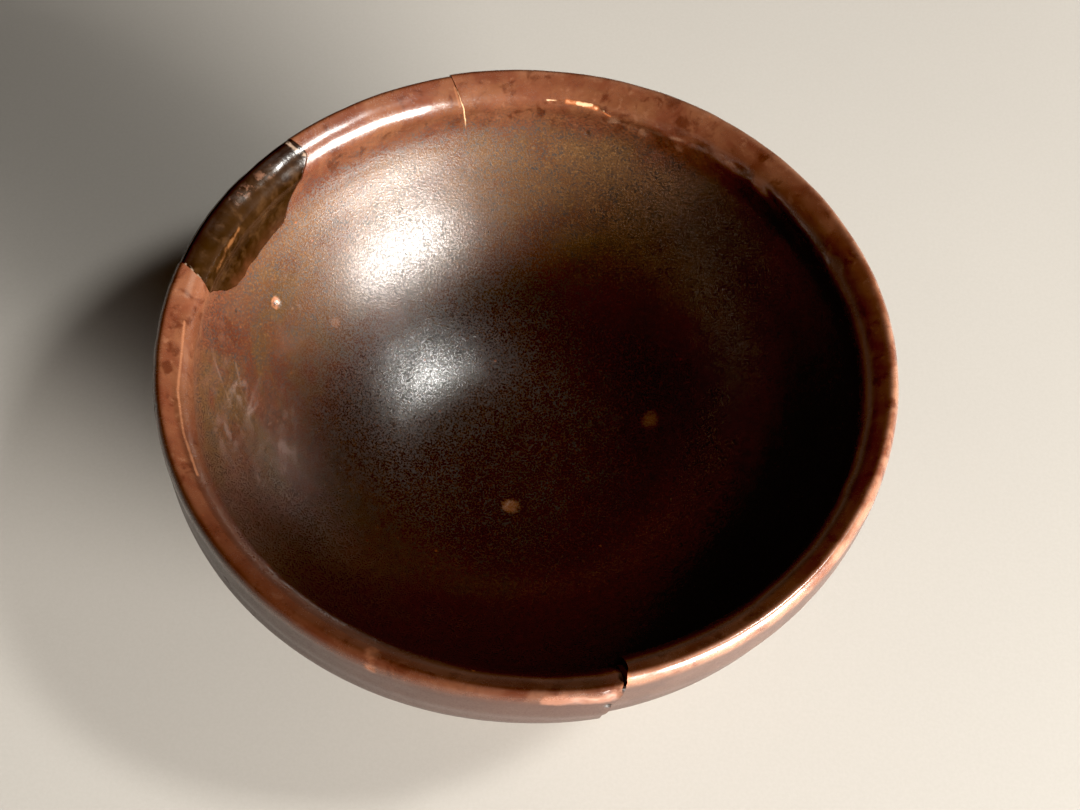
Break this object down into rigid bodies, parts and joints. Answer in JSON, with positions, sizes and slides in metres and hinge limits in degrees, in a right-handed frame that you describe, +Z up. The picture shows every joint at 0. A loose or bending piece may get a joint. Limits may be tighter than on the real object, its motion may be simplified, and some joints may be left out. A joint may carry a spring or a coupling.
{
  "type": "tea bowl",
  "caption": "Hemispherical glazed stoneware tea bowl with a thick rounded lip, well and foot ring, broken, re-glued and with a lacquer-filled rim.",
  "frame": {"origin": "on the ground under the middle of the mouth", "axes": "+Z up through the mouth; -Y towards the side that holds the front of the break; +X towards the right sherd"},
  "size_m": [0.1223, 0.1222, 0.06],
  "materials": {
    "bare_clay": "matte, slightly gritty fired stoneware",
    "iron_glaze": "red-brown to black iron glaze, satin to glossy, finely speckled",
    "repair_putty": "hard matte lacquer putty",
    "repair_lacquer": "glossy dark olive-brown translucent lacquer",
    "glue_line": "hardened tan lacquer glue"
  },
  "bodies": {
    "root": {"left_sherd": "bare_clay", "right_sherd": "bare_clay", "left_glaze": "iron_glaze", "right_glaze": "iron_glaze", "patch_putty": "repair_putty", "patch_lacquer": "repair_lacquer", "break_glue": "glue_line"}
  },
  "joints": []
}
